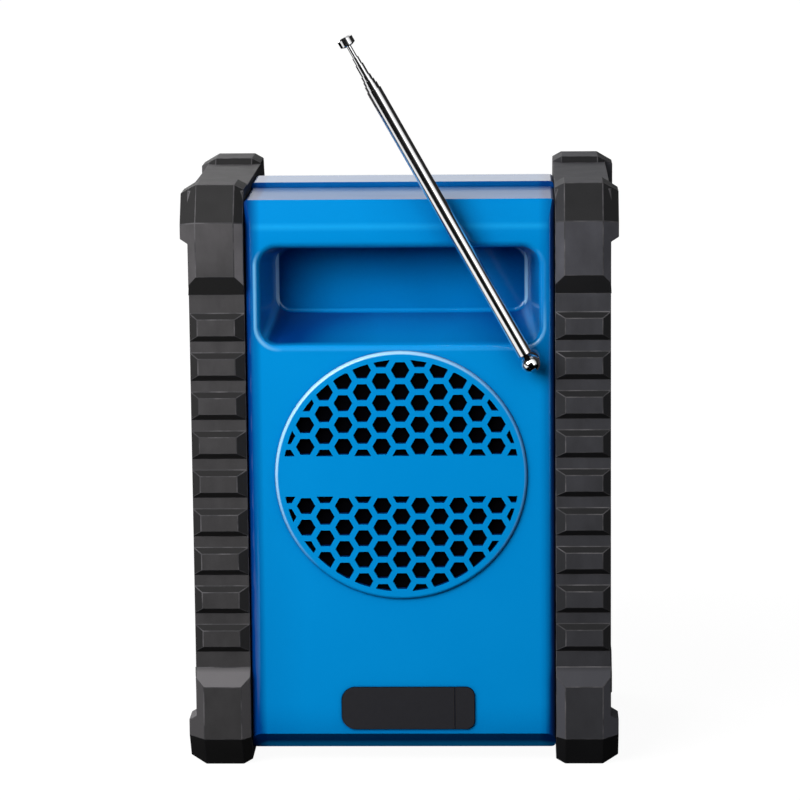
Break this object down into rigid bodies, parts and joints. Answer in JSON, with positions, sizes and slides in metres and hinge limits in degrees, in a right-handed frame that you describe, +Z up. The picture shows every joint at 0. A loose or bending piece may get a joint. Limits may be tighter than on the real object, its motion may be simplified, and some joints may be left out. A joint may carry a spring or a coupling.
{
  "type": "jobsite radio",
  "caption": "Jobsite radio with rubber armour rings, a hand recess, a subwoofer behind a hexagon grille, a port flap, a sloping control panel and a telescopic antenna.",
  "frame": {"origin": "under the middle of the whole radio, at the height of its feet", "axes": "+Z up, +Y out of the back with the subwoofer, -Y out of the front with the controls"},
  "size_m": [0.2012, 0.1664, 0.344],
  "materials": {
    "blue_housing": "moulded ABS with a fine satin texture",
    "bumper_rubber": "moulded rubber, matt, slightly dusty",
    "flap_rubber": "soft rubber, matt",
    "black_plastic": "moulded, fine texture",
    "knob_plastic": "moulded, satin",
    "key_plastic": "moulded, satin",
    "power_key_plastic": "moulded, satin",
    "display_glass": "smoked, polished",
    "display_plastic": "smooth",
    "grille_fabric": "woven speaker cloth",
    "speaker_paper": "pressed paper pulp",
    "surround_rubber": "smooth, matt",
    "dust_cap_plastic": "domed, satin",
    "pressed_steel": "zinc plated sheet",
    "magnet_steel": "sintered ferrite, matt",
    "board_laminate": "solder mask over glass fibre",
    "cell_sleeve": "shrink sleeve",
    "screw_steel": "zinc plated",
    "antenna_chrome": "polished plating on brass"
  },
  "bodies": {
    "housing": {"rear_cover": "blue_housing", "front_housing": "blue_housing", "subwoofer_grille": "blue_housing", "bumper_left": "bumper_rubber", "bumper_right": "bumper_rubber", "port_flap_anchor": "flap_rubber", "housing_seal": "flap_rubber", "front_grille": "black_plastic", "control_panel": "black_plastic", "antenna_bush": "black_plastic", "usb_port": "black_plastic", "dc_jack": "black_plastic", "aux_jack": "black_plastic", "button_switches": "black_plastic", "battery_holder": "black_plastic", "display_lens": "display_glass", "display_module": "display_plastic", "grille_cloth": "grille_fabric", "subwoofer_cone": "speaker_paper", "speaker_cone_left": "speaker_paper", "speaker_cone_right": "speaker_paper", "subwoofer_surround": "surround_rubber", "subwoofer_dust_cap": "dust_cap_plastic", "subwoofer_basket": "pressed_steel", "speaker_basket_left": "pressed_steel", "speaker_basket_right": "pressed_steel", "tuning_encoder": "pressed_steel", "encoder_nut": "pressed_steel", "subwoofer_magnet": "magnet_steel", "speaker_magnet_left": "magnet_steel", "speaker_magnet_right": "magnet_steel", "main_board": "board_laminate", "control_board": "board_laminate", "jack_board": "board_laminate", "battery_cells": "cell_sleeve", "housing_screws": "screw_steel", "speaker_screws": "screw_steel", "board_screws": "screw_steel"},
    "port_flap": {"port_flap": "flap_rubber"},
    "tuning_knob": {"tuning_knob": "knob_plastic", "encoder_shaft": "screw_steel"},
    "preset_button_1": {"preset_button_1": "key_plastic"},
    "preset_button_2": {"preset_button_2": "key_plastic"},
    "preset_button_3": {"preset_button_3": "key_plastic"},
    "preset_button_4": {"preset_button_4": "key_plastic"},
    "menu_button": {"menu_button": "key_plastic"},
    "source_button": {"source_button": "key_plastic"},
    "power_button": {"power_button": "power_key_plastic"},
    "antenna_swivel": {"antenna_swivel": "antenna_chrome", "antenna_pin": "antenna_chrome", "antenna_clip": "pressed_steel"},
    "antenna_mast": {"antenna_tongue": "antenna_chrome", "antenna_section_1": "antenna_chrome"},
    "antenna_tube_2": {"antenna_section_2": "antenna_chrome"},
    "antenna_tube_3": {"antenna_section_3": "antenna_chrome"},
    "antenna_tube_4": {"antenna_section_4": "antenna_chrome"},
    "antenna_tube_5": {"antenna_section_5": "antenna_chrome"},
    "antenna_tube_6": {"antenna_section_6": "antenna_chrome"},
    "antenna_tube_7": {"antenna_section_7": "antenna_chrome", "antenna_tip": "antenna_chrome"}
  },
  "joints": [
    {"name": "port_flap_hinge", "type": "hinge", "parent": "housing", "child": "port_flap", "pos_m": [-0.0241, 0.07134, 0.0288], "axis": [0, 0, 1], "range_deg": [0, 110]},
    {"name": "tuning_knob_turn", "type": "hinge", "parent": "housing", "child": "tuning_knob", "pos_m": [0.037, -0.04235, 0.24463], "axis": [0, -0.6448, 0.7643], "continuous": true},
    {"name": "preset_button_1_press", "type": "slide", "parent": "housing", "child": "preset_button_1", "axis": [0, 0.6448, -0.7643], "range_m": [0, 0.0006], "stiffness_N_per_m": 300},
    {"name": "preset_button_2_press", "type": "slide", "parent": "housing", "child": "preset_button_2", "axis": [0, 0.6448, -0.7643], "range_m": [0, 0.0006], "stiffness_N_per_m": 300},
    {"name": "preset_button_3_press", "type": "slide", "parent": "housing", "child": "preset_button_3", "axis": [0, 0.6448, -0.7643], "range_m": [0, 0.0006], "stiffness_N_per_m": 300},
    {"name": "preset_button_4_press", "type": "slide", "parent": "housing", "child": "preset_button_4", "axis": [0, 0.6448, -0.7643], "range_m": [0, 0.0006], "stiffness_N_per_m": 300},
    {"name": "menu_button_press", "type": "slide", "parent": "housing", "child": "menu_button", "axis": [0, 0.6448, -0.7643], "range_m": [0, 0.0006], "stiffness_N_per_m": 300},
    {"name": "source_button_press", "type": "slide", "parent": "housing", "child": "source_button", "axis": [0, 0.6448, -0.7643], "range_m": [0, 0.0006], "stiffness_N_per_m": 300},
    {"name": "power_button_press", "type": "slide", "parent": "housing", "child": "power_button", "axis": [0, 0.6448, -0.7643], "range_m": [0, 0.0006], "stiffness_N_per_m": 300},
    {"name": "antenna_swivel_turn", "type": "hinge", "parent": "housing", "child": "antenna_swivel", "pos_m": [-0.06, 0.07884, 0.1931], "axis": [0, 1, 0], "continuous": true},
    {"name": "antenna_tilt", "type": "hinge", "parent": "antenna_swivel", "child": "antenna_mast", "pos_m": [-0.06, 0.07884, 0.1931], "axis": [-0.8725, 0, 0.4886], "range_deg": [0, 90]},
    {"name": "antenna_slide_2", "type": "slide", "parent": "antenna_mast", "child": "antenna_tube_2", "axis": [0.4886, 0, 0.8725], "range_m": [0, 0.1248]},
    {"name": "antenna_slide_3", "type": "slide", "parent": "antenna_tube_2", "child": "antenna_tube_3", "axis": [0.4886, 0, 0.8725], "range_m": [0, 0.1248]},
    {"name": "antenna_slide_4", "type": "slide", "parent": "antenna_tube_3", "child": "antenna_tube_4", "axis": [0.4886, 0, 0.8725], "range_m": [0, 0.1248]},
    {"name": "antenna_slide_5", "type": "slide", "parent": "antenna_tube_4", "child": "antenna_tube_5", "axis": [0.4886, 0, 0.8725], "range_m": [0, 0.1248]},
    {"name": "antenna_slide_6", "type": "slide", "parent": "antenna_tube_5", "child": "antenna_tube_6", "axis": [0.4886, 0, 0.8725], "range_m": [0, 0.1248]},
    {"name": "antenna_slide_7", "type": "slide", "parent": "antenna_tube_6", "child": "antenna_tube_7", "axis": [0.4886, 0, 0.8725], "range_m": [0, 0.1248]}
  ]
}
